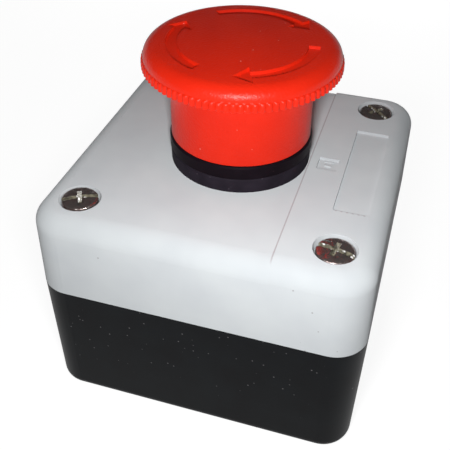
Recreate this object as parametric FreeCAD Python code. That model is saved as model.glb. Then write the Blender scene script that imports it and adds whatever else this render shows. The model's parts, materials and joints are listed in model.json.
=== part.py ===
import FreeCAD, Part
import math
import os
from FreeCAD import Vector

# Push button station: a square two-part box with a latching mushroom head on its lid.
# +Z is the button's axis, +Y points to the legend end, the origin is the middle of the back face.
# The head is drawn pressed and latched; twisting it clockwise lets it rise by head_travel.

# Enclosure
box_width = 68.0
box_length = 68.0
corner_radius = 7.0
base_height = 30.0
base_draft = 0.8
base_edge_radius = 2.4
base_wall = 2.5
base_floor = 2.6
lid_height = 19.0
lid_draft = 0.2
lid_edge_radius = 4.0
lid_wall = 2.6
lid_plate = 3.0
pad_step = 0.4
pad_edge = 15.1

# Lip of the base, which stands in a rebate of the lid under the lid's gasket
lip_height = 2.0
lip_thickness = 1.0
lip_clearance = 0.15
lid_gasket_thickness = 0.8

# Lid screws, their wells and the pillars and posts that they pull together
screw_spacing_x = 50.8
screw_spacing_y = 50.8
screw_head_radius = 3.6
screw_head_height = 2.5
screw_crown = 0.4
screw_slot_width = 1.2
screw_slot_depth = 1.2
screw_slot_length = 5.0
screw_shank_radius = 1.95
screw_sunk = 0.05
screw_bite = 10.0
screw_hole_spare = 2.0
well_clearance = 0.6
shank_clearance = 0.25
thread_clearance = 0.05
pillar_wall = 2.4
post_wall = 2.0
pillar_gap = 0.2
corner_rib = 2.4

# Legend places on the lid
legend_length = 29.8
legend_width = 7.0
legend_depth = 0.65
legend_centre = 26.2
legend_corner = 0.4
symbol_side = 4.2
symbol_depth = 0.65
symbol_centre = 18.9
marks_offset = -0.5

# Cable entries to knock out, and the holes in the back
entry_radius = 10.2
entry_groove = 0.8
entry_groove_depth = 1.3
back_spacing_x = 32.0
back_spacing_y = 50.0
back_hole_radius = 2.25
back_seat_radius = 4.4
back_seat_height = 1.0

# Operator: the fixed tube that the head works in, with its collar on the lid
neck_radius = 10.95
panel_clearance = 0.2
key_width = 3.0
key_height = 1.6
key_clearance = 0.1
collar_radius = 14.85
collar_edge = 0.3
bezel_gasket_height = 3.05
bezel_gasket_setback = 0.15
flange_height = 2.95
sleeve_height = 7.4
sleeve_wall = 2.85
sleeve_clearance = 0.35
ledge_depth = 1.1
seal_section = 0.6
seal_clearance = 0.05
seal_depth = 2.6
nut_height = 4.0
nut_wall = 3.5
nut_clearance = 0.1
nut_notches = 8
nut_notch_width = 3.0
nut_notch_depth = 1.2

# Mushroom head
head_travel = 4.5
head_radius = 20.0
head_height = 19.9
skirt_radius = 14.55
skirt_wall = 1.6
skirt_gap = 0.15
rim_height = 4.7
rim_root = 1.6
knurl_height = 1.8
knurl_depth = 0.5
knurl_count = 94
knurl_sunk = 0.2
knurl_tip_share = 0.3
knurl_foot_share = 0.85
knurl_run_out = 0.5
shoulder_start = 2.1
shoulder_width = 2.85
dome_rise = 0.3
cap_wall = 3.2
boss_wall = 2.9
boss_gap = 0.5
arrow_count = 3
arrow_inset = 2.7
arrow_band = 2.3
arrow_head_width = 5.8
arrow_tail_angle = 98.5
arrow_neck_angle = 22.5
arrow_tip_angle = 8.5
arrow_tip_flare = 0.55
arrow_depth = 0.55

# Stem, its springs and the wire clip that holds the head on it
stem_radius = 5.0
stem_clearance = 0.1
stem_tip_radius = 3.0
stem_tip_length = 2.4
stem_flange_clearance = 0.4
stem_flange_height = 1.8
spigot_radius = 4.0
spigot_clearance = 0.1
spigot_spare = 1.0
clip_wire = 1.0
clip_height = 4.9
clip_groove = 0.7
clip_clearance = 0.1
clip_play = 0.2
clip_reach = 6.0
clip_bridge_gap = 0.2
return_spring_height = 12.0
return_spring_radius = 7.0
return_spring_wire = 0.6
return_spring_turns = 5
twist_spring_height = 3.8
twist_spring_radius = 8.4
twist_spring_wire = 0.4
twist_spring_turns = 3

# Latch: two sprung pins in the neck that ride on a cone of the stem
latch_slope = 0.2
latch_waist_radius = 4.0
latch_margin = 1.0
latch_overrun = 0.4
pin_radius = 1.25
pin_length = 2.5
pin_clearance = 0.05
latch_spring_radius = 0.8
latch_spring_wire = 0.2
latch_spring_turns = 4
spring_seat_gap = 0.02
wire_flats = 6

# Contact holder on the neck
holder_cover = 2.5
holder_gap = 1.6
holder_wall = 2.15
holder_clearance = 0.1
holder_plate = 2.0
holder_width = 30.0
holder_margin = 1.0
holder_corner = 3.0
holder_opening = 6.0
clamp_screw_radius = 1.45
clamp_screw_height = 4.0
clamp_screw_proud = 1.2
clamp_screw_gap = 0.05
socket_radius = 0.75
socket_depth = 1.2
block_screw_inset = 2.8
block_screw_radius = 1.45
block_screw_head_radius = 2.6
block_screw_head_height = 1.8
block_screw_wall = 1.05
driver_clearance = 0.6

# Contact block with one opening contact
block_width = 12.0
block_body_length = 38.0
block_floor_gap = 2.4
block_back_wall = 1.5
block_floor = 1.5
block_roof = 2.0
block_end_wall = 5.0
cover_thickness = 1.2
slide_clearance = 0.3
plunger_width = 7.0
plunger_depth = 6.0
plunger_gap = 0.05
plunger_foot = 2.0
bridge_thickness = 1.2
bridge_width = 5.0
bridge_length = 22.0
bridge_clearance = 0.05
contact_gap = 0.05
contact_overlap = 4.0
strip_thickness = 1.2
strip_width = 5.0
clamp_side = 5.5
clamp_margin = 0.25
clamp_thickness = 1.0
terminal_screw_radius = 1.4
terminal_head_radius = 2.5
terminal_head_height = 2.0
terminal_screw_length = 6.0
contact_spring_radius = 2.0
contact_spring_wire = 0.3
contact_spring_turns = 3
contact_spring_height = 4.5

# Heights that follow from the sizes above
lid_top = base_height + lid_height
pad_top = lid_top - pad_step
lid_roof = pad_top - lid_plate
screw_seat = pad_top - screw_sunk - screw_head_height
flange_bottom = pad_top + bezel_gasket_height
collar_top = flange_bottom + flange_height
sleeve_top = collar_top + sleeve_height
latch_height = (stem_radius - latch_waist_radius) / latch_slope + latch_margin
holder_height = latch_height + holder_cover
neck_bottom = lid_roof - nut_height - holder_gap - holder_height
spring_ledge = pad_top - ledge_depth
skirt_bottom = collar_top + skirt_gap
head_top = skirt_bottom + head_height
rim_bottom = head_top - rim_height
cap_roof = head_top - cap_wall
stem_flange_bottom = spring_ledge + return_spring_height
stem_flange_top = stem_flange_bottom + stem_flange_height
spigot_top = cap_roof - spigot_spare
boss_bottom = stem_flange_top + boss_gap
stem_tip = neck_bottom - stem_tip_length
latch_z = neck_bottom + latch_height
holder_bottom = neck_bottom - holder_plate
block_bottom = base_floor + block_floor_gap
block_floor_top = block_bottom + block_floor
plunger_top = stem_tip - plunger_gap
plunger_bottom = block_floor_top + contact_spring_height
bridge_bottom = plunger_bottom + plunger_foot
bridge_top = bridge_bottom + bridge_thickness
strip_bottom = bridge_top + head_travel + contact_gap
strip_top = strip_bottom + strip_thickness
clamp_top = strip_top + clamp_thickness
block_screw_end = strip_top + block_screw_wall + screw_hole_spare
entry_height = base_height / 2

# Radii and offsets that follow from the sizes above
gasket_radius = collar_radius - bezel_gasket_setback
skirt_bore = skirt_radius - skirt_wall
sleeve_radius = skirt_bore - sleeve_clearance
chamber_radius = sleeve_radius - sleeve_wall
stem_flange_radius = chamber_radius - stem_flange_clearance
guide_radius = stem_radius + stem_clearance
spigot_bore = spigot_radius + spigot_clearance
boss_radius = spigot_bore + boss_wall
rim_radius = head_radius - knurl_depth
dome_edge = rim_radius - shoulder_width
arrow_radius = dome_edge - arrow_inset
well_radius = screw_head_radius + well_clearance
shank_hole = screw_shank_radius + shank_clearance
pilot_radius = screw_shank_radius + thread_clearance
pillar_radius = shank_hole + pillar_wall
post_radius = pilot_radius + post_wall
key_reach = neck_radius + key_height
holder_bore = neck_radius + holder_clearance
holder_radius = holder_bore + holder_wall
pin_bore = pin_radius + pin_clearance
pin_centre = latch_waist_radius + pin_bore * math.hypot(1, latch_slope)
pin_back = pin_centre + pin_length
holder_length = block_body_length + 2 * holder_margin
block_screw_place = block_body_length / 2 - block_screw_inset
block_length = block_body_length + 2 * (clamp_side + 2 * clamp_margin)
terminal_place = (block_body_length + block_length) / 4

quarter_signs = [(1, 1), (-1, 1), (-1, -1), (1, -1)]
up = Vector(0, 0, 1)
past = 1.0
level_tolerance = 0.001


def polar(radius, degrees, z=0.0):
    angle = math.radians(degrees)
    return Vector(radius * math.cos(angle), radius * math.sin(angle), z)


def cylinder(radius, low, high, x=0.0, y=0.0):
    return Part.makeCylinder(radius, high - low, Vector(x, y, low))


def tube(outer, inner, low, high):
    return cylinder(outer, low, high).cut(cylinder(inner, low - past, high + past))


def block(width, length, low, high, x=0.0, y=0.0):
    return Part.makeBox(width, length, high - low, Vector(x - width / 2, y - length / 2, low))


def turned(points):
    # Solid of revolution about Z through (radius, height) points
    corners = [Vector(radius, 0, z) for radius, z in points]
    return Part.Face(Part.makePolygon(corners + corners[:1])).revolve(Vector(), up, 360)


def rounded_rectangle(width, length, radius, z):
    arcs = []
    for turn, (sign_x, sign_y) in enumerate(quarter_signs):
        centre = Vector(sign_x * (width / 2 - radius), sign_y * (length / 2 - radius), z)
        bend = [centre + polar(radius, 90 * turn + step) for step in (0, 45, 90)]
        arcs.append(Part.Arc(*bend))
    edges = []
    for arc, following in zip(arcs, arcs[1:] + arcs[:1]):
        edges.append(arc.toShape())
        edges.append(Part.LineSegment(arc.EndPoint, following.StartPoint).toShape())
    return Part.Wire(edges)


def rounded_block(width, length, radius, low, high):
    return Part.Face(rounded_rectangle(width, length, radius, low)).extrude(up * (high - low))


def box_layer(low, high, inset_low, inset_high):
    # Block with the box's outline, drawn in by an inset at its lower and upper end
    ends = []
    for z, inset in ((low, inset_low), (high, inset_high)):
        width, length = box_width - 2 * inset, box_length - 2 * inset
        ends.append(rounded_rectangle(width, length, corner_radius - inset, z))
    return Part.makeLoft(ends, True, True)


def edges_at(shape, z):
    flat = [edge for edge in shape.Edges if edge.BoundBox.ZLength < level_tolerance]
    return [edge for edge in flat if abs(edge.BoundBox.ZMin - z) < level_tolerance]


def four_places(spacing_x, spacing_y):
    return [(sign_x * spacing_x / 2, sign_y * spacing_y / 2) for sign_x, sign_y in quarter_signs]


def corner_column(radius, low, high, x, y):
    # Round column with a rib that runs from it into the corner of the box
    rib = Part.makeBox(box_width / 2, corner_rib, high - low, Vector(0, -corner_rib / 2, low))
    rib.rotate(Vector(), up, math.degrees(math.atan2(y, x)))
    rib.translate(Vector(x, y, 0))
    return cylinder(radius, low, high, x, y).fuse(rib)


def coil_spring(radius, wire, low, high, turns):
    # Round coil whose wire is drawn with flats
    rise = high - low - 2 * wire
    path = Part.makeHelix(rise / turns, rise, radius)
    around = [polar(wire, 360 * flat / wire_flats) for flat in range(wire_flats + 1)]
    section = [Vector(radius + corner.x, 0, corner.y) for corner in around]
    coil = Part.Wire(path.Edges).makePipeShell([Part.makePolygon(section)], True, True)
    coil.translate(up * (low + wire))
    return coil


def pan_screw(radius, height, shank_radius, seat, length):
    # Screw that stands head up, with its seat at the given height
    top = seat + height
    return turned([
        (0, seat - length), (shank_radius, seat - length), (shank_radius, seat),
        (radius, seat), (radius, top - screw_crown), (radius - screw_crown, top), (0, top),
    ])


def make_base_box():
    shell = box_layer(0, base_height, base_draft, 0)
    shell = shell.makeFillet(base_edge_radius, edges_at(shell, 0))
    shell = shell.cut(box_layer(base_floor, base_height + past, base_draft + base_wall, base_wall))
    room = box_layer(base_floor / 2, base_height, base_draft + base_wall / 2, base_wall / 2)
    for x, y in four_places(screw_spacing_x, screw_spacing_y):
        shell = shell.fuse(corner_column(post_radius, base_floor / 2, base_height, x, y).common(room))
    lip_inset = base_wall - lip_thickness
    lip = box_layer(base_height - base_wall / 2, base_height + lip_height, lip_inset, lip_inset)
    shell = shell.fuse(lip.cut(box_layer(0, base_height + lip_height + past, base_wall, base_wall)))
    pilot_bottom = base_height - screw_bite - screw_hole_spare
    for x, y in four_places(screw_spacing_x, screw_spacing_y):
        shell = shell.cut(cylinder(pilot_radius, pilot_bottom, base_height + past, x, y))
    for x, y in four_places(back_spacing_x, back_spacing_y):
        shell = shell.fuse(cylinder(back_seat_radius, base_floor / 2, base_floor + back_seat_height, x, y))
        shell = shell.cut(cylinder(back_hole_radius, -past, base_floor + back_seat_height + past, x, y))
    for side in (-1, 1):
        shell = shell.cut(entry_ring(side))
    return shell.removeSplitter()


def entry_ring(side):
    # Groove round a cable entry, measured in from the drafted wall at the entry's own height
    face = box_length / 2 - base_draft * (1 - entry_height / base_height)
    ring = tube(entry_radius, entry_radius - entry_groove, 0, entry_groove_depth + base_draft)
    ring.rotate(Vector(), Vector(1, 0, 0), -90 * side)
    ring.translate(Vector(0, side * (face - entry_groove_depth), entry_height))
    return ring


def lid_outside(top):
    # Rounded outside of the lid up to a height, with its sides on the same drafted planes at any height
    draft = lid_draft * (top - base_height) / lid_height
    shell = box_layer(base_height, top, 0, draft)
    return shell.makeFillet(lid_edge_radius, edges_at(shell, top))


def make_lid():
    pad_width = box_width + 2 * past
    pad_length = box_length / 2 + pad_edge + past
    pad_end = block(pad_width, pad_length, base_height - past, lid_top + past, 0, pad_edge - pad_length / 2)
    shell = lid_outside(lid_top).cut(pad_end).fuse(lid_outside(pad_top).common(pad_end))
    shell = shell.cut(box_layer(base_height - past, lid_roof, lid_wall, lid_wall + lid_draft))
    rebate_inset = base_wall - lip_thickness - lip_clearance
    rebate_top = base_height + lip_height + lid_gasket_thickness
    shell = shell.cut(box_layer(base_height - past, rebate_top, rebate_inset, rebate_inset))
    room_inset = max(lid_wall, base_wall + lip_clearance)
    room = box_layer(base_height, lid_top, room_inset, room_inset)
    upper = box_layer(rebate_top, lid_top, lid_wall / 2, lid_wall / 2)
    for x, y in four_places(screw_spacing_x, screw_spacing_y):
        pillar = corner_column(pillar_radius, base_height + pillar_gap, lid_roof + lid_plate / 2, x, y)
        shell = shell.fuse(pillar.common(room.fuse(upper)))
    for x, y in four_places(screw_spacing_x, screw_spacing_y):
        shell = shell.cut(cylinder(well_radius, screw_seat, lid_top + past, x, y))
        shell = shell.cut(cylinder(shank_hole, base_height, screw_seat + past, x, y))
    legend_floor = lid_top - legend_depth
    legend = rounded_block(legend_length, legend_width, legend_corner, legend_floor, lid_top + past)
    legend.translate(Vector(marks_offset, legend_centre, 0))
    symbol_floor = lid_top - symbol_depth
    symbol = block(symbol_side, symbol_side, symbol_floor, lid_top + past, marks_offset, symbol_centre)
    hole = cylinder(neck_radius + panel_clearance, lid_roof - past, lid_top)
    notch_reach = key_reach + key_clearance
    notch = block(key_width + 2 * key_clearance, notch_reach, lid_roof - past, lid_top, 0, notch_reach / 2)
    return shell.cut([legend, symbol, hole, notch]).removeSplitter()


def make_lid_gasket():
    low = base_height + lip_height
    outer = base_wall - lip_thickness
    ring = box_layer(low, low + lid_gasket_thickness, outer, outer)
    return ring.cut(box_layer(low - past, low + lid_gasket_thickness + past, base_wall, base_wall))


def make_lid_screws():
    screws = []
    length = screw_seat - base_height + screw_bite
    for x, y in four_places(screw_spacing_x, screw_spacing_y):
        screw = pan_screw(screw_head_radius, screw_head_height, screw_shank_radius, screw_seat, length)
        top = screw_seat + screw_head_height
        for width, depth in ((screw_slot_width, screw_slot_length), (screw_slot_length, screw_slot_width)):
            screw = screw.cut(block(width, depth, top - screw_slot_depth, top + past))
        screw.translate(Vector(x, y, 0))
        screws.append(screw)
    return Part.makeCompound(screws)


def make_bezel_gasket():
    inner = key_reach + key_clearance
    return turned([
        (inner, pad_top), (gasket_radius, pad_top), (gasket_radius, flange_bottom - collar_edge),
        (gasket_radius - collar_edge, flange_bottom), (inner, flange_bottom),
    ])


def make_operator_body():
    body = turned([
        (0, neck_bottom), (neck_radius, neck_bottom), (neck_radius, flange_bottom),
        (collar_radius - collar_edge, flange_bottom), (collar_radius, flange_bottom + collar_edge),
        (collar_radius, collar_top - collar_edge), (collar_radius - collar_edge, collar_top),
        (sleeve_radius, collar_top), (sleeve_radius, sleeve_top), (0, sleeve_top),
    ])
    key = block(key_width, key_reach, lid_roof, flange_bottom, 0, key_reach / 2)
    body = body.fuse(key)
    body = body.cut(cylinder(chamber_radius, spring_ledge, sleeve_top + past))
    body = body.cut(cylinder(guide_radius, neck_bottom - past, sleeve_top))
    groove = stem_radius + 2 * (seal_section + seal_clearance)
    low, high = seal_heights()
    body = body.cut(cylinder(groove, low, high))
    reach = neck_radius + past
    bore = Part.makeCylinder(pin_bore, 2 * reach, Vector(-reach, 0, latch_z), Vector(1, 0, 0))
    return body.cut(bore).removeSplitter()


def seal_heights():
    low = spring_ledge - seal_depth
    return low, low + 2 * (seal_section + seal_clearance)


def make_stem_seal():
    low, high = seal_heights()
    ring_radius = stem_radius + seal_clearance + seal_section
    return Part.makeTorus(ring_radius, seal_section, Vector(0, 0, (low + high) / 2))


def make_ring_nut():
    bore = neck_radius + nut_clearance
    outer = bore + nut_wall
    low = lid_roof - nut_height
    nut = tube(outer, bore, low, lid_roof)
    for notch in range(nut_notches):
        cut = block(2 * nut_notch_depth, nut_notch_width, low - past, lid_roof + past, outer)
        cut.rotate(Vector(), up, notch * 360 / nut_notches)
        nut = nut.cut(cut)
    return nut


def make_return_spring():
    return coil_spring(return_spring_radius, return_spring_wire, spring_ledge + spring_seat_gap,
                       stem_flange_bottom - spring_seat_gap, return_spring_turns)


def make_stem():
    cone_bottom = latch_z - (stem_radius - latch_waist_radius) / latch_slope
    cone_top = latch_z + pin_bore + latch_overrun
    cone_top_radius = latch_waist_radius - latch_slope * (cone_top - latch_z)
    groove_radius = spigot_radius - clip_groove
    groove_low = stem_flange_top + clip_height - clip_play
    groove_high = groove_low + clip_wire + 2 * clip_play
    return turned([
        (0, stem_tip), (stem_tip_radius, stem_tip), (stem_tip_radius, neck_bottom),
        (stem_radius, neck_bottom), (stem_radius, cone_bottom), (cone_top_radius, cone_top),
        (stem_radius, cone_top + stem_radius - cone_top_radius), (stem_radius, stem_flange_bottom),
        (stem_flange_radius, stem_flange_bottom), (stem_flange_radius, stem_flange_top),
        (spigot_radius, stem_flange_top), (spigot_radius, groove_low), (groove_radius, groove_low),
        (groove_radius, groove_high), (spigot_radius, groove_high), (spigot_radius, spigot_top),
        (0, spigot_top),
    ])


def clip_bars():
    # Inner edge and height of the wire clip's two straight bars
    return spigot_radius - clip_groove + clip_clearance, stem_flange_top + clip_height


def make_head_clip():
    inner, low = clip_bars()
    high = low + clip_wire
    bridge_y = boss_radius + clip_bridge_gap
    length = clip_reach + bridge_y
    clip = block(2 * (inner + clip_wire), clip_wire, low, high, 0, bridge_y + clip_wire / 2)
    for side in (-1, 1):
        x = side * (inner + clip_wire / 2)
        clip = clip.fuse(block(clip_wire, length, low, high, x, bridge_y - length / 2))
    return clip.removeSplitter()


def make_twist_spring():
    low = stem_flange_top + spring_seat_gap
    high = low + twist_spring_height
    return coil_spring(twist_spring_radius, twist_spring_wire, low, high, twist_spring_turns)


def head_form():
    # Outer form of the mushroom head, as a section turned about the axis
    shoulder_low = rim_bottom + shoulder_start
    shoulder_high = head_top - dome_rise
    lean = math.cos(math.radians(45))
    shoulder_rise = (shoulder_high - shoulder_low) * lean
    shoulder_middle = Vector(dome_edge + shoulder_width * lean, 0, shoulder_low + shoulder_rise)
    dome_radius = (dome_edge ** 2 + dome_rise ** 2) / (2 * dome_rise)
    dome_drop = dome_radius - math.sqrt(dome_radius ** 2 - (dome_edge / 2) ** 2)
    dome_middle = Vector(dome_edge / 2, 0, head_top - dome_drop)
    root_middle = Vector(skirt_radius + rim_root * (1 - lean), 0, rim_bottom - rim_root * (1 - lean))
    points = [
        Vector(0, 0, skirt_bottom), Vector(skirt_radius, 0, skirt_bottom),
        Vector(skirt_radius, 0, rim_bottom - rim_root), Vector(skirt_radius + rim_root, 0, rim_bottom),
        Vector(rim_radius, 0, rim_bottom), Vector(rim_radius, 0, shoulder_low),
        Vector(dome_edge, 0, shoulder_high), Vector(0, 0, head_top),
    ]
    middles = {2: root_middle, 5: shoulder_middle, 6: dome_middle}
    edges = []
    for place, (start, end) in enumerate(zip(points, points[1:] + points[:1])):
        if place in middles:
            edges.append(Part.Arc(start, middles[place], end).toShape())
        else:
            edges.append(Part.LineSegment(start, end).toShape())
    return Part.Face(Part.Wire(edges)).revolve(Vector(), up, 360)


def knurl_ribs():
    # Upright ribs round the rim, each with its foot sunk in the rim and a sloping top
    pitch = 2 * math.pi * head_radius / knurl_count
    foot = rim_radius - knurl_sunk
    half_foot = pitch * knurl_foot_share / 2
    half_tip = pitch * knurl_tip_share / 2
    plan = [(foot, -half_foot), (head_radius, -half_tip), (head_radius, half_tip), (foot, half_foot)]
    corners = [Vector(x, y, rim_bottom) for x, y in plan]
    rib = Part.Face(Part.makePolygon(corners + corners[:1])).extrude(up * knurl_height)
    top = rim_bottom + knurl_height
    run_out = top - knurl_run_out
    slope = [(foot, top), (head_radius, run_out), (head_radius, top)]
    slope = [Vector(x, -pitch, z) for x, z in slope]
    rib = rib.cut(Part.Face(Part.makePolygon(slope + slope[:1])).extrude(Vector(0, 2 * pitch, 0)))
    ribs = []
    for place in range(knurl_count):
        copy = rib.copy()
        copy.rotate(Vector(), up, place * 360 / knurl_count)
        ribs.append(copy)
    return ribs


def arrow_mark(turn):
    # Upright solid with the outline of one curved clockwise arrow
    inner = arrow_radius - arrow_band / 2
    outer = arrow_radius + arrow_band / 2
    low = head_top - dome_rise - arrow_depth
    angles = (arrow_tail_angle, (arrow_tail_angle + arrow_neck_angle) / 2, arrow_neck_angle)
    tail_in, bend_in, neck_in = (polar(inner, angle, low) for angle in angles)
    tail_out, bend_out, neck_out = (polar(outer, angle, low) for angle in angles)
    barb_in = polar(arrow_radius - arrow_head_width / 2, arrow_neck_angle, low)
    barb_out = polar(arrow_radius + arrow_head_width / 2, arrow_neck_angle, low)
    tip = polar(arrow_radius + arrow_tip_flare, arrow_tip_angle, low)
    corners = [neck_in, barb_in, tip, barb_out, neck_out]
    edges = [Part.LineSegment(start, end).toShape() for start, end in zip(corners, corners[1:])]
    edges.append(Part.LineSegment(tail_out, tail_in).toShape())
    edges.append(Part.Arc(tail_in, bend_in, neck_in).toShape())
    edges.append(Part.Arc(neck_out, bend_out, tail_out).toShape())
    mark = Part.Face(Part.Wire(Part.__sortEdges__(edges))).extrude(up * (arrow_depth + dome_rise + past))
    mark.rotate(Vector(), up, -turn)
    return mark


def make_mushroom_head():
    head = head_form().fuse(knurl_ribs())
    head = head.cut(cylinder(skirt_bore, skirt_bottom - past, cap_roof))
    boss = tube(boss_radius, spigot_bore, boss_bottom, cap_roof)
    inner, low = clip_bars()
    slot_low = low - clip_clearance
    slot_high = low + clip_wire + clip_clearance
    slot_width = clip_wire + 2 * clip_clearance
    for side in (-1, 1):
        x = side * (inner + clip_wire / 2)
        boss = boss.cut(block(slot_width, 2 * (boss_radius + past), slot_low, slot_high, x))
    head = head.fuse(boss)
    for arrow in range(arrow_count):
        head = head.cut(arrow_mark(arrow * 360 / arrow_count))
    return head.removeSplitter()


def make_latch_pin(side):
    centre = Vector(pin_centre, 0, latch_z)
    pin = Part.makeSphere(pin_radius, centre)
    pin = pin.fuse(Part.makeCylinder(pin_radius, pin_length, centre, Vector(1, 0, 0)))
    if side < 0:
        pin.rotate(Vector(), up, 180)
    return pin.removeSplitter()


def make_latch_springs():
    springs = []
    for side in (-1, 1):
        coil = coil_spring(latch_spring_radius, latch_spring_wire, pin_back + spring_seat_gap,
                           holder_bore - spring_seat_gap, latch_spring_turns)
        coil.rotate(Vector(), Vector(0, 1, 0), 90 * side)
        coil.translate(Vector(0, 0, latch_z))
        springs.append(coil)
    return Part.makeCompound(springs)


def make_contact_holder():
    plate = rounded_block(holder_width, holder_length, holder_corner, holder_bottom, neck_bottom)
    collar = tube(holder_radius, holder_bore, neck_bottom - holder_plate / 2, neck_bottom + holder_height)
    holder = plate.fuse(collar)
    holder = holder.cut(cylinder(holder_bore, neck_bottom, neck_bottom + holder_height + past))
    holder = holder.cut(cylinder(holder_opening, holder_bottom - past, neck_bottom + past))
    clamp_hole = clamp_screw_radius + thread_clearance
    reach = holder_radius + past
    start = Vector(0, -reach, neck_bottom + clamp_screw_height)
    holder = holder.cut(Part.makeCylinder(clamp_hole, 2 * reach, start, Vector(0, 1, 0)))
    block_hole = block_screw_radius + shank_clearance
    pocket = block_screw_head_radius + driver_clearance
    for side in (-1, 1):
        y = side * block_screw_place
        holder = holder.cut(cylinder(block_hole, holder_bottom - past, neck_bottom + past, 0, y))
        holder = holder.cut(cylinder(pocket, neck_bottom, neck_bottom + holder_height + past, 0, y))
    return holder.removeSplitter()


def make_clamp_screws():
    screws = []
    start = neck_radius + clamp_screw_gap
    end = holder_radius + clamp_screw_proud
    for side in (-1, 1):
        screw = cylinder(clamp_screw_radius, start, end)
        screw = screw.cut(cylinder(socket_radius, end - socket_depth, end + past))
        screw.rotate(Vector(), Vector(1, 0, 0), -90 * side)
        screw.translate(Vector(0, 0, neck_bottom + clamp_screw_height))
        screws.append(screw)
    return Part.makeCompound(screws)


def make_block_screws():
    screws = []
    for side in (-1, 1):
        screw = pan_screw(block_screw_head_radius, block_screw_head_height, block_screw_radius, neck_bottom,
                          neck_bottom - block_screw_end)
        screw.translate(Vector(0, side * block_screw_place, 0))
        screws.append(screw)
    return Part.makeCompound(screws)


def block_hollow(width, length, low, high, y=0.0):
    # Hollow of the contact block, open towards its cover
    start = block_back_wall - block_width / 2
    return Part.makeBox(width, length, high - low, Vector(start, y - length / 2, low))


def make_contact_housing():
    depth = block_width - cover_thickness
    inside = depth - block_back_wall
    left = cover_thickness / 2
    body = block(depth, block_body_length, block_bottom, holder_bottom, -left)
    body = body.fuse(block(depth, block_length, block_bottom, strip_bottom, -left))
    hollow_length = block_body_length - 2 * block_end_wall
    body = body.cut(block_hollow(inside + past, hollow_length, block_floor_top, holder_bottom - block_roof))
    body = body.cut(block_hollow(inside + past, block_length + past, strip_bottom, strip_top))
    slot_x = plunger_width + 2 * slide_clearance
    slot_y = plunger_depth + 2 * slide_clearance
    body = body.cut(block(slot_x, slot_y, holder_bottom - block_roof - past, holder_bottom + past))
    for side in (-1, 1):
        hole = block_screw_radius + thread_clearance
        low = block_screw_end - screw_hole_spare
        body = body.cut(cylinder(hole, low, holder_bottom + past, 0, side * block_screw_place))
        hole = terminal_screw_radius + thread_clearance
        low = clamp_top - terminal_screw_length - screw_hole_spare
        body = body.cut(cylinder(hole, low, strip_top + past, 0, side * terminal_place))
    return body.removeSplitter()


def make_contact_cover():
    x = (block_width - cover_thickness) / 2
    cover = block(cover_thickness, block_body_length, block_bottom, holder_bottom, x)
    return cover.fuse(block(cover_thickness, block_length, block_bottom, strip_bottom, x)).removeSplitter()


def make_contact_plunger():
    plunger = block(plunger_width, plunger_depth, plunger_bottom, plunger_top)
    window = block(bridge_width + 2 * bridge_clearance, 2 * plunger_depth, bridge_bottom - bridge_clearance,
                   bridge_top + bridge_clearance)
    return plunger.cut(window)


def make_contact_bridge():
    return block(bridge_width, bridge_length, bridge_bottom, bridge_top)


def make_contact_spring():
    return coil_spring(contact_spring_radius, contact_spring_wire, block_floor_top + spring_seat_gap,
                       plunger_bottom - spring_seat_gap, contact_spring_turns)


def make_fixed_contact(side):
    inner = bridge_length / 2 - contact_overlap
    length = block_length / 2 - inner
    strip = block(strip_width, length, strip_bottom, strip_top, 0, side * (inner + length / 2))
    hole = terminal_screw_radius + thread_clearance
    return strip.cut(cylinder(hole, strip_bottom - past, strip_top + past, 0, side * terminal_place))


def make_terminal_clamps():
    clamps = []
    hole = terminal_screw_radius + thread_clearance
    for side in (-1, 1):
        y = side * terminal_place
        clamp = block(clamp_side, clamp_side, strip_top, clamp_top, 0, y)
        clamps.append(clamp.cut(cylinder(hole, strip_top - past, clamp_top + past, 0, y)))
    return Part.makeCompound(clamps)


def make_terminal_screws():
    screws = []
    for side in (-1, 1):
        screw = pan_screw(terminal_head_radius, terminal_head_height, terminal_screw_radius, clamp_top,
                          terminal_screw_length)
        screw.translate(Vector(0, side * terminal_place, 0))
        screws.append(screw)
    return Part.makeCompound(screws)


parts = {
    "base_box": make_base_box(),
    "lid": make_lid(),
    "lid_gasket": make_lid_gasket(),
    "lid_screws": make_lid_screws(),
    "bezel_gasket": make_bezel_gasket(),
    "operator_body": make_operator_body(),
    "stem_seal": make_stem_seal(),
    "ring_nut": make_ring_nut(),
    "return_spring": make_return_spring(),
    "stem": make_stem(),
    "head_clip": make_head_clip(),
    "twist_spring": make_twist_spring(),
    "mushroom_head": make_mushroom_head(),
    "latch_pin_near": make_latch_pin(1),
    "latch_pin_far": make_latch_pin(-1),
    "latch_springs": make_latch_springs(),
    "contact_holder": make_contact_holder(),
    "clamp_screws": make_clamp_screws(),
    "block_screws": make_block_screws(),
    "contact_housing": make_contact_housing(),
    "contact_cover": make_contact_cover(),
    "contact_plunger": make_contact_plunger(),
    "contact_bridge": make_contact_bridge(),
    "contact_spring": make_contact_spring(),
    "fixed_contact_left": make_fixed_contact(-1),
    "fixed_contact_right": make_fixed_contact(1),
    "terminal_clamps": make_terminal_clamps(),
    "terminal_screws": make_terminal_screws(),
}

os.makedirs("parts", exist_ok=True)
for name, shape in parts.items():
    shape.exportStep(f"parts/{name}.step")
    print(name, len(shape.Solids), "valid" if shape.isValid() else "NOT VALID", round(shape.Volume, 2))
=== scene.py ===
import json
import math
import bmesh
import bpy
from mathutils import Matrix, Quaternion, Vector


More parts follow.
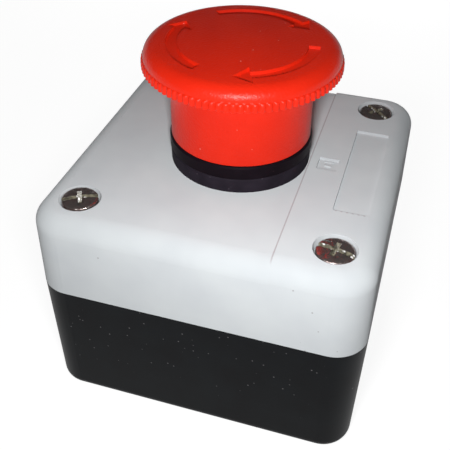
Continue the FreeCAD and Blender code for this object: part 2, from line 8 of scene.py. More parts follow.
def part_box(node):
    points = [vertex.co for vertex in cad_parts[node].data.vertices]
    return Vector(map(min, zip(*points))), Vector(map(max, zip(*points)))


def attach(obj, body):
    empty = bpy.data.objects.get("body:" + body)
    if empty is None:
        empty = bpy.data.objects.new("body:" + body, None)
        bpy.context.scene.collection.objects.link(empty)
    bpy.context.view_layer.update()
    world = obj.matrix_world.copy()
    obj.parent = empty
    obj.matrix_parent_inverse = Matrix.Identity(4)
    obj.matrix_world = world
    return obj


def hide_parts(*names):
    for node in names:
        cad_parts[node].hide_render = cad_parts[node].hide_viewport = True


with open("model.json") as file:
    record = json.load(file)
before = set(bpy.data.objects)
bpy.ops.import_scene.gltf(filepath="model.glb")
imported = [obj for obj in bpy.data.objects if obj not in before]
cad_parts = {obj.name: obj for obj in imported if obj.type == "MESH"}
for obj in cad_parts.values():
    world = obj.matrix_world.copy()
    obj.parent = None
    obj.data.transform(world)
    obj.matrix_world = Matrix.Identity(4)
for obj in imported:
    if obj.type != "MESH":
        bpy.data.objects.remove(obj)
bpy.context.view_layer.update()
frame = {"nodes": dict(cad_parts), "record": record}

mm = 0.001
origin = (0, 0, 0)
mergeDistance = 0.001  # millimetres, points closer than this become one
nearEnough = 0.004  # millimetres, a point this close counts as being there
domeShares = (0.8, 0.6, 0.4, 0.2, 0)  # rings of a shallow dome, from its edge to its middle
scene = bpy.context.scene
print("frame loaded:", len(frame["nodes"]), "nodes")


# Modelling steps that several pieces share; their sizes are in millimetres

def makeActive(piece):
    bpy.ops.object.select_all(action="DESELECT")
    piece.select_set(True)
    bpy.context.view_layer.objects.active = piece


def startPiece(name):
    # one point at the origin, ready to be pulled into a shape
    bpy.ops.object.select_all(action="DESELECT")
    bpy.ops.mesh.primitive_plane_add(size=mm, location=origin)
    piece = bpy.context.object
    piece.name = piece.data.name = name
    bpy.ops.object.mode_set(mode="EDIT")
    bpy.ops.mesh.select_mode(type="VERT")
    bpy.ops.mesh.select_all(action="SELECT")
    bpy.ops.mesh.merge(type="CENTER")
    return piece


def openMesh(piece):
    makeActive(piece)
    bpy.ops.object.mode_set(mode="EDIT")


def closeMesh():
    bpy.ops.mesh.select_all(action="SELECT")
    bpy.ops.mesh.remove_doubles(threshold=mergeDistance * mm)
    bpy.ops.mesh.normals_make_consistent(inside=False)
    bpy.ops.object.mode_set(mode="OBJECT")


def drawLine(name, points):
    # pulls a chain of edges through the points, and stays in edit mode
    piece = startPiece(name)
    bpy.ops.transform.translate(value=Vector(points[0]) * mm)
    for start, end in zip(points, points[1:]):
        step = (Vector(end) - Vector(start)) * mm
        bpy.ops.mesh.extrude_vertices_move(TRANSFORM_OT_translate={"value": step})
    return piece


def turnLine(name, outline, steps):
    # a solid of revolution about the upright axis, from (radius, height) points
    piece = drawLine(name, [(radius, 0, height) for radius, height in outline])
    bpy.ops.mesh.select_all(action="SELECT")
    bpy.ops.mesh.spin(steps=steps, angle=2 * math.pi, center=origin, axis=(0, 0, 1))
    closeMesh()
    return piece


def raiseOutline(name, outline, height):
    # a prism over a closed outline of points
    piece = drawLine(name, outline)
    bpy.ops.mesh.select_all(action="SELECT")
    bpy.ops.mesh.edge_face_add()
    bpy.ops.mesh.extrude_region_move(TRANSFORM_OT_translate={"value": (0, 0, height * mm)})
    closeMesh()
    return piece


def pick(piece, kind, test):
    # selects the points, edges or faces that pass a test
    bpy.ops.mesh.select_mode(type=kind)
    bpy.ops.mesh.select_all(action="DESELECT")
    mesh = bmesh.from_edit_mesh(piece.data)
    for part in {"VERT": mesh.verts, "EDGE": mesh.edges, "FACE": mesh.faces}[kind]:
        if test(part):
            part.select_set(True)
    mesh.select_flush_mode()
    bmesh.update_edit_mesh(piece.data)


def cutWith(piece, cutter):
    makeActive(piece)
    cut = piece.modifiers.new("cut", "BOOLEAN")
    cut.operation = "DIFFERENCE"
    cut.solver = "EXACT"
    cut.object = cutter
    bpy.ops.object.modifier_apply(modifier=cut.name)
    bpy.data.objects.remove(cutter)


def roundEdges(piece, width, segments, degrees):
    # rounds the edges that are sharper than an angle
    makeActive(piece)
    soft = piece.modifiers.new("soft", "BEVEL")
    soft.width = width * mm
    soft.segments = segments
    soft.limit_method = "ANGLE"
    soft.angle_limit = math.radians(degrees)
    bpy.ops.object.modifier_apply(modifier=soft.name)


def smooth(piece, degrees):
    makeActive(piece)
    bpy.ops.object.shade_smooth_by_angle(angle=math.radians(degrees))


def placeCopy(piece, name, place, degrees):
    makeActive(piece)
    bpy.ops.object.duplicate(linked=False)
    copy = bpy.context.object
    copy.name = copy.data.name = name
    copy.location = Vector(place) * mm
    copy.rotation_euler[2] = math.radians(degrees)
    bpy.ops.object.transform_apply(location=True, rotation=True, scale=True)
    return copy


def arc(centre, radii, start, end, steps):
    # points of an elliptic arc in the half plane of a turned outline
    points = []
    for step in range(steps + 1):
        angle = math.radians(start + (end - start) * step / steps)
        points.append((centre[0] + radii[0] * math.cos(angle), centre[1] + radii[1] * math.sin(angle)))
    return points


def dome(edge, middle):
    # rings of a shallow dome in a turned outline, from its edge up to the height of its middle
    radius, level = edge
    return [(radius * share, middle - (middle - level) * share ** 2) for share in domeShares]


def around(radius, degrees, height):
    angle = math.radians(degrees)
    return (radius * math.cos(angle), radius * math.sin(angle), height)


def rectangle(x, y, height):
    # corners of a level rectangle, from its two ends along each axis
    return [(x[0], y[0], height), (x[1], y[0], height), (x[1], y[1], height), (x[0], y[1], height)]


def heights(node):
    low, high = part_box(node)
    return low.z / mm, high.z / mm


# Mushroom head: turned cap and skirt, rounded ribs round the rim, three sunk arrows

head = {
    "radius": 19.98, "rimHeight": 4.7, "rimEdge": 0.15,
    "shoulderStart": 2.1, "shoulderWidth": 2.85, "domeRise": 0.3, "roof": 3.2,
    "skirt": 14.55, "bore": 12.95, "root": 1.6, "edge": 0.2,
    "edgeSteps": 3, "rootSteps": 6, "shoulderSteps": 14, "smoothAngle": 50,
    "bossRadius": 7.0, "bossBore": 4.1, "bossBottom": 7.05,
    "ribs": 94, "ribDepth": 0.42, "ribHeight": 1.8, "ribFoot": 0.6, "ribCrown": 0.6, "ribSteps": 8,
    "ribShape": (1.0, 0.95, 0.74, 0.24),  # shares of the depth, from the middle of a rib to its side
    "crownRows": (0.35, 0.62, 0.8, 0.92, 0.98, 1.0),  # shares of the crown's height
    "arrows": 3, "arrowRadius": 13.95, "arrowBand": 2.3, "arrowWidth": 5.8, "arrowDepth": 0.55,
    "arrowTail": 98.5, "arrowNeck": 22.5, "arrowTip": 8.5, "arrowTipRadius": 14.5,
    "arrowSteps": 24, "arrowCut": 2.0,  # cutter's height
    "clipPlace": 3.9, "clipHeight": 11.35, "clipWidth": 1.2, "clipRise": 1.2, "clipLength": 17,
}
headBottom, headTop = heights("mushroom_head")
rimBottom = headTop - head["rimHeight"]
rimRadius = head["radius"] - head["ribDepth"]
ribTop = rimBottom + head["ribHeight"]
crownBottom = ribTop - head["ribCrown"]
domeEdge = rimRadius - head["shoulderWidth"]
shoulderLow = rimBottom + head["shoulderStart"]
shoulderHigh = headTop - head["domeRise"]
capRoof = headTop - head["roof"]


def ribRows():
    # radius and height of the rows of points that the ribs are pulled out of
    edge = head["rimEdge"]
    rows = arc((rimRadius - edge, rimBottom + edge), (edge, edge), -90, 0, head["edgeSteps"])
    rows += [(rimRadius, rimBottom + head["ribFoot"]), (rimRadius, crownBottom)]
    rows += [(rimRadius, crownBottom + head["ribCrown"] * share) for share in head["crownRows"]]
    return rows


def headOutline():
    edge, root, skirt, bore = head["edge"], head["root"], head["skirt"], head["bore"]
    bossBottom = headBottom + head["bossBottom"]
    points = [(0, capRoof), (head["bossBore"], capRoof), (head["bossBore"], bossBottom)]
    points += [(head["bossRadius"], bossBottom), (head["bossRadius"], capRoof), (bore, capRoof)]
    points += [(bore, headBottom + edge), (bore + edge, headBottom)]
    points += arc((skirt - edge, headBottom + edge), (edge, edge), -90, 0, head["edgeSteps"])
    points += arc((skirt + root, rimBottom - root), (-root, root), 0, 90, head["rootSteps"])
    points += ribRows()
    shoulder = (head["shoulderWidth"], shoulderHigh - shoulderLow)
    points += arc((domeEdge, shoulderLow), shoulder, 0, 90, head["shoulderSteps"])
    return points + dome((domeEdge, shoulderHigh), headTop)


def ribReach(height):
    # how far a rib stands out at a height: full along its side, rounded off at its top
    share = max(0, (height - crownBottom) / head["ribCrown"])
    return head["ribDepth"] * math.sqrt(max(0, 1 - share ** 2))


def onRib(point, radius, height, column):
    # whether a point is in a row of the rim, and so many columns from the middle of a rib
    if abs(point.co.z / mm - height) > nearEnough:
        return False
    if abs(math.hypot(point.co.x, point.co.y) / mm - radius) > nearEnough:
        return False
    steps = head["ribSteps"]
    turned = math.atan2(point.co.y, point.co.x) / (2 * math.pi)
    return round(turned * head["ribs"] * steps) % steps in (column, steps - column)


def pullRibs(piece):
    openMesh(piece)
    for radius, height in ribRows()[:-1]:
        for column, share in enumerate(head["ribShape"]):
            pick(piece, "VERT", lambda point: onRib(point, radius, height, column))
            scale = 1 + ribReach(height) * share / radius
            bpy.ops.transform.resize(value=(scale, scale, 1), center_override=origin)
    closeMesh()


def arrowCutter(turn):
    low = shoulderHigh - head["arrowDepth"]
    middle, halfBand, halfWidth = head["arrowRadius"], head["arrowBand"] / 2, head["arrowWidth"] / 2
    tail, neck, steps = head["arrowTail"], head["arrowNeck"], head["arrowSteps"]
    sweep = [tail + (neck - tail) * step / steps for step in range(steps + 1)]
    outline = [around(middle - halfBand, angle - turn, low) for angle in sweep]
    outline.append(around(middle - halfWidth, neck - turn, low))
    outline.append(around(head["arrowTipRadius"], head["arrowTip"] - turn, low))
    outline.append(around(middle + halfWidth, neck - turn, low))
    outline += [around(middle + halfBand, angle - turn, low) for angle in reversed(sweep)]
    return raiseOutline("arrowCutter", outline, head["arrowCut"])


def clipCutter(side):
    # room for one bar of the wire clip through the boss inside the head
    place, half, reach = side * head["clipPlace"], head["clipWidth"] / 2, head["clipLength"] / 2
    outline = rectangle((place - half, place + half), (-reach, reach), headBottom + head["clipHeight"])
    return raiseOutline("clipCutter", outline, head["clipRise"])


mushroomHead = turnLine("mushroomHead", headOutline(), head["ribs"] * head["ribSteps"])
pullRibs(mushroomHead)
for number in range(head["arrows"]):
    cutWith(mushroomHead, arrowCutter(number * 360 / head["arrows"]))
for side in (-1, 1):
    cutWith(mushroomHead, clipCutter(side))
smooth(mushroomHead, head["smoothAngle"])
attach(mushroomHead, "head")
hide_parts("mushroom_head")
print("mushroom head:", len(mushroomHead.data.polygons), "faces")


# Lid screws: domed pan heads with a slot across and a cross recess in the middle

screw = {
    "radius": 3.6, "height": 2.5, "rim": 2.38, "crown": 0.4, "edge": 0.12,
    "round": (0.9, 0.35), "roundEnd": 75, "roundSteps": 6, "steps": 64, "smoothAngle": 40,
    "shank": 1.95, "point": 0.8, "spacing": 25.4,
    "slotWidth": 1.05, "slotDepth": 1.15, "slotPast": 1, "slotCut": 4,  # past the rim, and cutter's height
    "crossLength": 4.6, "crossWidth": 1.0, "crossDepth": 1.9, "crossPast": 0.5,
    "crossEnds": 0.35, "crossSides": 0.7,  # shares of the length and width that are left at the bottom
    "punchedReach": 3.25, "punchedLow": 0.3, "punchedSunk": 0.03,  # where a face counts as punched
    "turns": {(1, 1): 78, (1, -1): 119, (-1, 1): 47, (-1, -1): 20},  # degrees, by corner of the lid
}
screwTip, screwTop = heights("lid_screws")
screwSeat = screwTop - screw["height"]
screwCrown = screwTop + screw["crown"]


def screwOutline():
    radius, shank, edge, rim = screw["radius"], screw["shank"], screw["edge"], screwSeat + screw["rim"]
    points = [(0, screwTip), (shank - screw["point"], screwTip), (shank, screwTip + screw["point"])]
    points += [(shank, screwSeat), (radius - edge, screwSeat), (radius, screwSeat + edge), (radius, rim)]
    middle = (radius - screw["round"][0], rim)
    points += arc(middle, screw["round"], 0, screw["roundEnd"], screw["roundSteps"])
    return points + dome(points[-1], screwCrown)


def slotCutter():
    half, reach = screw["slotWidth"] / 2, screw["radius"] + screw["slotPast"]
    outline = rectangle((-reach, reach), (-half, half), screwCrown - screw["slotDepth"])
    return raiseOutline("slotCutter", outline, screw["slotCut"])


def crossCutter(along):
    # one bar of the cross recess, drawn in towards its bottom
    half, reach = screw["crossWidth"] / 2, screw["crossLength"] / 2
    x, y = (reach, half) if along else (half, reach)
    low = screwCrown - screw["crossDepth"]
    outline = rectangle((-x, x), (-y, y), low)
    cutter = raiseOutline("crossCutter", outline, screw["crossDepth"] + screw["crossPast"])
    openMesh(cutter)
    pick(cutter, "VERT", lambda point: point.co.z / mm < low + nearEnough)
    ends, sides = screw["crossEnds"], screw["crossSides"]
    shrink = (ends, sides, 1) if along else (sides, ends, 1)
    bpy.ops.transform.resize(value=shrink, center_override=(0, 0, low * mm))
    closeMesh()
    return cutter


def inRecess(face):
    # faces of the slot and the cross, which are punched and get the darker recess finish with painted
    # glints
    place = face.calc_center_median() / mm
    across = math.hypot(place.x, place.y)
    surface = screwCrown - screw["crown"] * (across / screw["radius"]) ** 2
    sunk = screwSeat + screw["punchedLow"] < place.z < surface - screw["punchedSunk"]
    return sunk and across < screw["punchedReach"]


lidScrew = turnLine("lidScrew", screwOutline(), screw["steps"])
cutWith(lidScrew, slotCutter())
cutWith(lidScrew, crossCutter(True))
cutWith(lidScrew, crossCutter(False))
makeActive(lidScrew)
bpy.ops.object.material_slot_add()  # plated crown
bpy.ops.object.material_slot_add()  # punched recess
openMesh(lidScrew)
pick(lidScrew, "FACE", inRecess)
bpy.ops.object.material_slot_assign()
bpy.ops.object.mode_set(mode="OBJECT")
smooth(lidScrew, screw["smoothAngle"])
lidScrews = []
for (sideX, sideY), degrees in screw["turns"].items():
    place = (sideX * screw["spacing"], sideY * screw["spacing"], 0)
    lidScrews.append(placeCopy(lidScrew, "lidScrew%d" % (len(lidScrews) + 1), place, degrees))
bpy.data.objects.remove(lidScrew)
for copy in lidScrews:
    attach(copy, "station")
    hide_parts("lid_screws")
print("lid screws:", len(lidScrews))


# Two low ridges on the floor of the small square recess

mark = {
    "recess": 0.65, "y": 18.9, "edge": 0.05, "edgeSegments": 2, "edgeAngle": 40,
    "ridges": (
        {"x": (-2.1, -1.75), "width": 1.95, "height": 0.22},
        {"x": (-0.6, -0.2), "width": 1.4, "height": 0.34},
    ),
}
lidTop = heights("lid")[1]
markFloor = lidTop - mark["recess"]
ridges = []
for ridge in mark["ridges"]:
    half = ridge["width"] / 2
    outline = rectangle(ridge["x"], (mark["y"] - half, mark["y"] + half), markFloor)
    ridges.append(raiseOutline("recessMark", outline, ridge["height"]))
    roundEdges(ridges[-1], mark["edge"], mark["edgeSegments"], mark["edgeAngle"])
makeActive(ridges[0])
for ridge in ridges:
    ridge.select_set(True)
bpy.ops.object.join()
recessMark = bpy.context.object
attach(recessMark, "station")
print("recess mark:", len(ridges), "ridges")


# Materials; their sizes are in millimetres
# moulding grain, dents in plating and dust are finer than a pixel, so they are drawn coarser, to show

patchRange = (0.3, 0.7)  # stretch of the noise over which skin turns into patch
speckCore = 0.4  # share of a speck's radius that has its full colour


def colour(hexCode):
    # linear colour from sRGB
    values = [int(hexCode[place:place + 2], 16) / 255 for place in (1, 3, 5)]
    linear = [v / 12.92 if v <= 0.04045 else ((v + 0.055) / 1.055) ** 2.4 for v in values]
    return (*linear, 1.0)


def addNode(owner, kind, sockets, **settings):
    # one node with its settings; a socket takes a value or another node's output
    node = owner.node_tree.nodes.new(kind)
    for name, value in settings.items():
        setattr(node, name, value)
    for socket, value in sockets.items():
        if isinstance(value, bpy.types.NodeSocket):
            owner.node_tree.links.new(node.inputs[socket], value)
        else:
            node.inputs[socket].default_value = value
    return node


def newMaterial(name):
    material = bpy.data.materials.new(name)
    material.use_nodes = True
    material.node_tree.nodes.clear()
    return material, addNode(material, "ShaderNodeTexCoord", {}).outputs["Object"]


def patchySkin(material, place, look):
    # where the soft patches are, and the colour that goes over from skin to patch there
    low, high = patchRange
    noise = addNode(material, "ShaderNodeTexNoise", {
        "Vector": place, "Scale": 1 / (look["patchSize"] * mm)})
    patches = addNode(material, "ShaderNodeMapRange", {
        "Value": noise.outputs["Fac"], "From Min": low, "From Max": high})
    skin = addNode(material, "ShaderNodeMix", {  # 6, 7 and 2 are the sockets of its colours
        0: patches.outputs["Result"], 6: colour(look["skin"]), 7: colour(look["patch"])}, data_type="RGBA")
    return patches.outputs["Result"], skin.outputs[2]


def dented(material, place, size, depth):
    # normal of a surface with small dents, which break up its highlights
    noise = addNode(material, "ShaderNodeTexNoise", {"Vector": place, "Scale": 1 / (size * mm)})
    bump = addNode(material, "ShaderNodeBump", {"Height": noise.outputs["Fac"], "Distance": depth * mm})
    return bump.outputs["Normal"]


def scatter(material, place, spacing, radius, share):
    # mask of round specks: at most one in a cell of the spacing, in a share of the cells
    edge = radius / spacing
    cells = addNode(material, "ShaderNodeTexVoronoi", {"Vector": place, "Scale": 1 / (spacing * mm)})
    spot = addNode(material, "ShaderNodeMapRange", {
        "Value": cells.outputs["Distance"], "From Min": edge, "From Max": speckCore * edge})
    draw = addNode(material, "ShaderNodeSeparateColor", {"Color": cells.outputs["Color"]})
    chosen = addNode(material, "ShaderNodeMath", {0: draw.outputs["Red"], 1: share}, operation="LESS_THAN")
    specks = addNode(material, "ShaderNodeMath", {
        0: spot.outputs["Result"], 1: chosen.outputs[0]}, operation="MULTIPLY")
    return specks.outputs[0]


def mouldedSkin(material, place, look):
    # colour of a moulded surface: faint patches, and dust or dirt in specks; on the screw recess the
    # specks are painted glints
    skin = patchySkin(material, place, look)[1]
    dustAndGlints = scatter(material, place, look["speckSpacing"], look["speckRadius"], look["speckShare"])
    speckled = addNode(material, "ShaderNodeMix", {
        0: dustAndGlints, 6: skin, 7: colour(look["speck"])}, data_type="RGBA")
    return speckled.outputs[2]


def mouldedFinish(material, place, look, skin):
    # satin or gloss with a grain; spread evens out the shading, as light under a plastic's skin does
    grain = dented(material, place, look["grain"], look["grainDepth"])
    shader = addNode(material, "ShaderNodeBsdfPrincipled", {
        "Base Color": skin, "Diffuse Roughness": look["spread"], "Roughness": look["roughness"],
        "Specular IOR Level": look["specular"], "Normal": grain})
    addNode(material, "ShaderNodeOutputMaterial", {"Surface": shader.outputs["BSDF"]})


def moulded(name, look):
    material, place = newMaterial(name)
    mouldedFinish(material, place, look, mouldedSkin(material, place, look))
    return material


def platedMetal(name, look):
    # bright metal, dulled outside its patches, with dents that break up what it mirrors
    # the dulling is tarnish on the metals inside, and painted dark reflection on the screw crowns
    material, place = newMaterial(name)
    patches, tint = patchySkin(material, place, look)
    metalShare = addNode(material, "ShaderNodeMapRange", {
        "Value": patches, "To Min": 1 - look["dulling"], "To Max": 1})
    shader = addNode(material, "ShaderNodeBsdfPrincipled", {
        "Base Color": tint, "Metallic": metalShare.outputs["Result"], "Roughness": look["roughness"],
        "Normal": dented(material, place, look["dentSize"], look["dentDepth"])})
    addNode(material, "ShaderNodeOutputMaterial", {"Surface": shader.outputs["BSDF"]})
    return material


# light grey lid: satin and slightly mottled, a few dark specks, and two darker lines painted on its top:
# a thin one along the foot of the step and a dashed one at the near end of the legend
lidLook = {
    "skin": "#c4c8cb", "patch": "#caced0", "patchSize": 9,
    "speck": "#8d878b", "speckSpacing": 2.6, "speckRadius": 0.2, "speckShare": 0.04,
    "grain": 0.35, "grainDepth": 0.006, "roughness": 0.5, "specular": 0.04, "spread": 0.4,
    "darkLine": "#a49a9e", "darkLineShare": 0.85, "darkLinePlace": 14.97, "darkLineWidth": 0.17,
    "darkLineStart": 1.0, "darkLineFull": 0.3,  # depths under the lid's top
    "endPlace": 14.45, "endWidth": 0.13, "endMiddle": 26.2, "endReach": 3.4, "dash": 1.1,
}
lidMaterial, lidPlace = newMaterial("mouldedAbsLightGrey")
lidAxes = addNode(lidMaterial, "ShaderNodeSeparateXYZ", {"Vector": lidPlace}).outputs
onStep = addNode(lidMaterial, "ShaderNodeMath", {
    0: lidAxes["Y"], 1: lidLook["darkLinePlace"] * mm, 2: lidLook["darkLineWidth"] * mm}, operation="COMPARE")
onEnd = addNode(lidMaterial, "ShaderNodeMath", {
    0: lidAxes["X"], 1: lidLook["endPlace"] * mm, 2: lidLook["endWidth"] * mm}, operation="COMPARE")
onLegend = addNode(lidMaterial, "ShaderNodeMath", {
    0: lidAxes["Y"], 1: lidLook["endMiddle"] * mm, 2: lidLook["endReach"] * mm}, operation="COMPARE")
swing = addNode(lidMaterial, "ShaderNodeMath", {
    0: lidAxes["Y"], 1: 2 * math.pi / (lidLook["dash"] * mm)}, operation="MULTIPLY")
dashes = addNode(lidMaterial, "ShaderNodeMath", {0: swing.outputs[0]}, operation="SINE")
endLine = addNode(lidMaterial, "ShaderNodeMath", {
    0: onEnd.outputs[0], 1: onLegend.outputs[0]}, operation="MULTIPLY")
dashed = addNode(lidMaterial, "ShaderNodeMath", {
    0: endLine.outputs[0], 1: dashes.outputs[0]}, operation="MULTIPLY")
lines = addNode(lidMaterial, "ShaderNodeMath", {
    0: onStep.outputs[0], 1: dashed.outputs[0]}, operation="MAXIMUM")
onTop = addNode(lidMaterial, "ShaderNodeMapRange", {
    "Value": lidAxes["Z"], "From Min": (lidTop - lidLook["darkLineStart"]) * mm,
    "From Max": (lidTop - lidLook["darkLineFull"]) * mm, "To Max": lidLook["darkLineShare"]})
darkLine = addNode(lidMaterial, "ShaderNodeMath", {
    0: lines.outputs[0], 1: onTop.outputs["Result"]}, operation="MULTIPLY")
lidSkin = addNode(lidMaterial, "ShaderNodeMix", {
    0: darkLine.outputs[0], 6: mouldedSkin(lidMaterial, lidPlace, lidLook),
    7: colour(lidLook["darkLine"])}, data_type="RGBA")
mouldedFinish(lidMaterial, lidPlace, lidLook, lidSkin.outputs[2])
# black base: near black and satin, dusted with small pale specks
baseMaterial = moulded("mouldedAbsBlack", {
    "skin": "#08090c", "patch": "#0d1013", "patchSize": 7,
    "speck": "#6c6a6c", "speckSpacing": 1.6, "speckRadius": 0.19, "speckShare": 0.2,
    "grain": 0.3, "grainDepth": 0.008, "roughness": 0.45, "specular": 0.07, "spread": 0.15})
# red head: strong red with a soft grainy gloss and a few pale specks
redMaterial = moulded("mouldedPolyamideRed", {
    "skin": "#d6240e", "patch": "#dd2811", "patchSize": 9,
    "speck": "#e8a094", "speckSpacing": 2.6, "speckRadius": 0.17, "speckShare": 0.5,
    "grain": 0.5, "grainDepth": 0.09, "roughness": 0.4, "specular": 0.25, "spread": 0.3})
# black collar of the operator: deep black and smooth
collarMaterial = moulded("mouldedPolyamideBlack", {
    "skin": "#140e13", "patch": "#191218", "patchSize": 4,
    "speck": "#4a4048", "speckSpacing": 1.0, "speckRadius": 0.1, "speckShare": 0.15,
    "grain": 0.3, "grainDepth": 0.004, "roughness": 0.42, "specular": 0.04, "spread": 0.15})
# rubber gasket: duller and greyer than the collar above it, full of dust
rubberMaterial = moulded("mouldedNitrileRubber", {
    "skin": "#1e1921", "patch": "#27212a", "patchSize": 3,
    "speck": "#655d66", "speckSpacing": 0.8, "speckRadius": 0.1, "speckShare": 0.3,
    "grain": 0.25, "grainDepth": 0.008, "roughness": 0.75, "specular": 0.1, "spread": 0.15})
# stem inside: milky and waxy
stemMaterial = moulded("mouldedNylonNatural", {
    "skin": "#cfcab8", "patch": "#d6d1c0", "patchSize": 4,
    "speck": "#b4ad98", "speckSpacing": 2.0, "speckRadius": 0.1, "speckShare": 0.1,
    "grain": 0.3, "grainDepth": 0.004, "roughness": 0.4, "specular": 0.3, "spread": 0.15})
# plunger of the contact block: dull dark red
plungerMaterial = moulded("mouldedNylonRed", {
    "skin": "#9c1c16", "patch": "#a5211a", "patchSize": 4,
    "speck": "#c27a72", "speckSpacing": 2.0, "speckRadius": 0.1, "speckShare": 0.1,
    "grain": 0.3, "grainDepth": 0.004, "roughness": 0.4, "specular": 0.3, "spread": 0.15})
# contact block: mid grey and matt, slightly coarse
blockMaterial = moulded("mouldedThermosetGrey", {
    "skin": "#5c5f62", "patch": "#666a6d", "patchSize": 3,
    "speck": "#868a8d", "speckSpacing": 1.2, "speckRadius": 0.12, "speckShare": 0.3,
    "grain": 0.4, "grainDepth": 0.01, "roughness": 0.55, "specular": 0.3, "spread": 0.15})
# slot and cross of the screws: dark with pale mottles, painted shade and reflection, and white specks as
# painted glints
punchedMaterial = moulded("punchedNickelPlate", {
    "skin": "#1c1812", "patch": "#938d79", "patchSize": 0.6,
    "speck": "#ffffff", "speckSpacing": 0.9, "speckRadius": 0.36, "speckShare": 0.75,
    "grain": 0.3, "grainDepth": 0.05, "roughness": 0.35, "specular": 0.5, "spread": 0.15})
# crowns of the screws: bright and mirroring, browned and dulled between pale patches, a painted reflection
# of a dark surround
nickelMaterial = platedMetal("nickelPlatedSteel", {
    "skin": "#8f7572", "patch": "#d8ccc8", "patchSize": 0.9,
    "dulling": 0.16, "dentSize": 1.2, "dentDepth": 0.25, "roughness": 0.26})
# screws inside: greyish white plating, a little cloudy
zincMaterial = platedMetal("zincPlatedSteel", {
    "skin": "#a9a79e", "patch": "#c4c2ba", "patchSize": 2.0,
    "dulling": 0.1, "dentSize": 1.0, "dentDepth": 0.02, "roughness": 0.34})
# springs and pins: grey steel with a drawn sheen
springMaterial = platedMetal("drawnSpringSteel", {
    "skin": "#7f8083", "patch": "#97989b", "patchSize": 1.5,
    "dulling": 0.06, "dentSize": 0.8, "dentDepth": 0.01, "roughness": 0.28})
# contact strips: yellow, slightly tarnished
brassMaterial = platedMetal("rolledBrass", {
    "skin": "#b38a3e", "patch": "#cfa95a", "patchSize": 2.0,
    "dulling": 0.12, "dentSize": 1.5, "dentDepth": 0.02, "roughness": 0.3})
finishes = {
    "base_plastic": baseMaterial, "lid_plastic": lidMaterial, "red_plastic": redMaterial,
    "collar_plastic": collarMaterial, "seal_rubber": rubberMaterial, "screw_nickel": nickelMaterial,
    "zinc_steel": zincMaterial, "spring_steel": springMaterial, "contact_brass": brassMaterial,
    "stem_nylon": stemMaterial, "plunger_nylon": plungerMaterial, "block_plastic": blockMaterial,
}
dressed = [(mushroomHead, redMaterial), (recessMark, lidMaterial)]
for part in frame["record"]["subparts"]:
    dressed.append((frame["nodes"][part["node"]], finishes[part["material_slot"]]))
for piece, material in dressed:
    piece.data.materials.clear()
    piece.data.materials.append(material)
for copy in lidScrews:
    copy.material_slots[0].material = nickelMaterial
    copy.material_slots[1].material = punchedMaterial
print("finishes:", len(dressed) + len(lidScrews), "pieces and nodes")


# Floor, light and camera; sizes and places are in millimetres

stageLook = {
    "floorSize": 4000, "floor": "#c4c4c4", "fibre": 0.6, "fibreDepth": 0.01,
    "glow": 0.93, "shade": "#6f6f6f",  # in view: its own light, and what the lamps and shadows add
    "sky": "#ffffff", "fill": 0.04, "white": 0.02, "dark": 0.12, "ceiling": 0.04, "aim": (0, 0, 45),
}
# camera fitted to the corners and outlines in the photograph
cameraLook = {
    "place": (126.891, 36.049, 137.618), "azimuth": 106.724, "elevation": 37.005, "roll": 0.657,
    "lens": 59.16, "shift": (-0.01305, -0.07823),
}
# flash close to the line of sight, and a low lamp behind that keeps the far side readable
keyLook = {"left": 3, "down": 2, "forward": 42, "size": 14, "power": 0.134, "mirrored": True}
backLook = {"place": (-420, -60, 58), "size": 110, "power": 1.1, "mirrored": False}


def raysOf(owner):
    # one for rays from the eye, and one for those that metal or glass sends on
    rays = addNode(owner, "ShaderNodeLightPath", {}).outputs
    mirrored = addNode(owner, "ShaderNodeMath", {
        0: rays["Is Glossy Ray"], 1: rays["Is Transmission Ray"]}, operation="MAXIMUM")
    return rays["Is Camera Ray"], mirrored.outputs[0]


bpy.ops.object.select_all(action="DESELECT")
bpy.ops.mesh.primitive_plane_add(size=stageLook["floorSize"] * mm, location=origin)
floor = bpy.context.object
floor.name = "floor"
# white board: lights the object as plain board, and stays near white in view with a faint shadow
boardMaterial, boardPlace = newMaterial("paintedBoardWhite")
fibres = dented(boardMaterial, boardPlace, stageLook["fibre"], stageLook["fibreDepth"])
lit = addNode(boardMaterial, "ShaderNodeBsdfDiffuse", {
    "Color": colour(stageLook["floor"]), "Normal": fibres})
shaded = addNode(boardMaterial, "ShaderNodeBsdfDiffuse", {"Color": colour(stageLook["shade"])})
glow = addNode(boardMaterial, "ShaderNodeEmission", {"Strength": stageLook["glow"]})
viewed = addNode(boardMaterial, "ShaderNodeAddShader", {0: shaded.outputs[0], 1: glow.outputs[0]})
fromEye, mirrored = raysOf(boardMaterial)
seen = addNode(boardMaterial, "ShaderNodeMath", {0: fromEye, 1: mirrored}, operation="MAXIMUM")
board = addNode(boardMaterial, "ShaderNodeMixShader", {
    0: seen.outputs[0], 1: lit.outputs[0], 2: viewed.outputs[0]})
addNode(boardMaterial, "ShaderNodeOutputMaterial", {"Surface": board.outputs[0]})
floor.data.materials.append(boardMaterial)

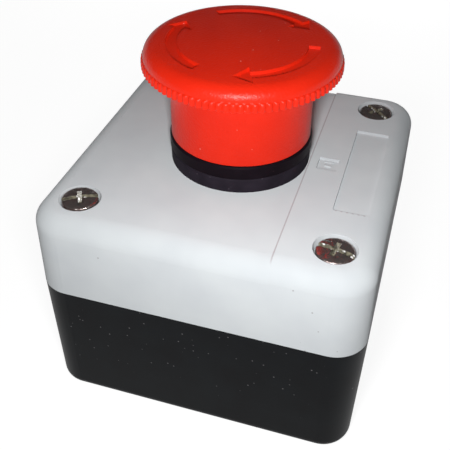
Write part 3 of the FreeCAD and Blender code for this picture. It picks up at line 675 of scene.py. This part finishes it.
azimuth, elevation = math.radians(cameraLook["azimuth"]), math.radians(cameraLook["elevation"])
level = math.cos(elevation)
backward = Vector((math.sin(azimuth) * level, -math.cos(azimuth) * level, math.sin(elevation)))
turn = (-backward).to_track_quat("-Z", "Y") @ Quaternion((0, 0, 1), math.radians(cameraLook["roll"]))
cameraPlace = Vector(cameraLook["place"])
bpy.ops.object.camera_add(location=cameraPlace * mm, rotation=turn.to_euler())
camera = bpy.context.object
camera.data.lens = cameraLook["lens"]
camera.data.shift_x, camera.data.shift_y = cameraLook["shift"]
camera.data.clip_start = mm
scene.camera = camera

sideways, upwards = turn @ Vector((1, 0, 0)), turn @ Vector((0, 1, 0))
keyPlace = cameraPlace - sideways * keyLook["left"] - upwards * keyLook["down"]
keyPlace -= backward * keyLook["forward"]
for place, look in ((keyPlace, keyLook), (Vector(backLook["place"]), backLook)):
    aim = (Vector(stageLook["aim"]) - place).to_track_quat("-Z", "Y")
    bpy.ops.object.light_add(type="AREA", location=place * mm, rotation=aim.to_euler())
    lamp = bpy.context.object
    lamp.data.size = look["size"] * mm
    lamp.data.energy = look["power"]
    lamp.visible_glossy = look["mirrored"]

world = bpy.data.worlds.new("studio")
scene.world = world
world.use_nodes = True
world.node_tree.nodes.clear()
# white to the eye; in reflections white along the horizon and darker overhead; a low even fill
skyPlace = addNode(world, "ShaderNodeTexCoord", {}).outputs["Generated"]
skyAxes = addNode(world, "ShaderNodeSeparateXYZ", {"Vector": skyPlace}).outputs
overhead = addNode(world, "ShaderNodeMapRange", {
    "Value": skyAxes["Z"], "From Min": stageLook["white"], "From Max": stageLook["dark"],
    "To Min": 1.0, "To Max": stageLook["ceiling"]})
fromEye, mirrored = raysOf(world)
unseen = addNode(world, "ShaderNodeMapRange", {
    "Value": mirrored, "To Min": stageLook["fill"], "To Max": overhead.outputs["Result"]})
strength = addNode(world, "ShaderNodeMath", {0: fromEye, 1: unseen.outputs["Result"]}, operation="MAXIMUM")
sky = addNode(world, "ShaderNodeBackground", {
    "Color": colour(stageLook["sky"]), "Strength": strength.outputs[0]})
addNode(world, "ShaderNodeOutputWorld", {"Surface": sky.outputs["Background"]})

scene.view_settings.view_transform = "Standard"
print("stage, light and camera set")
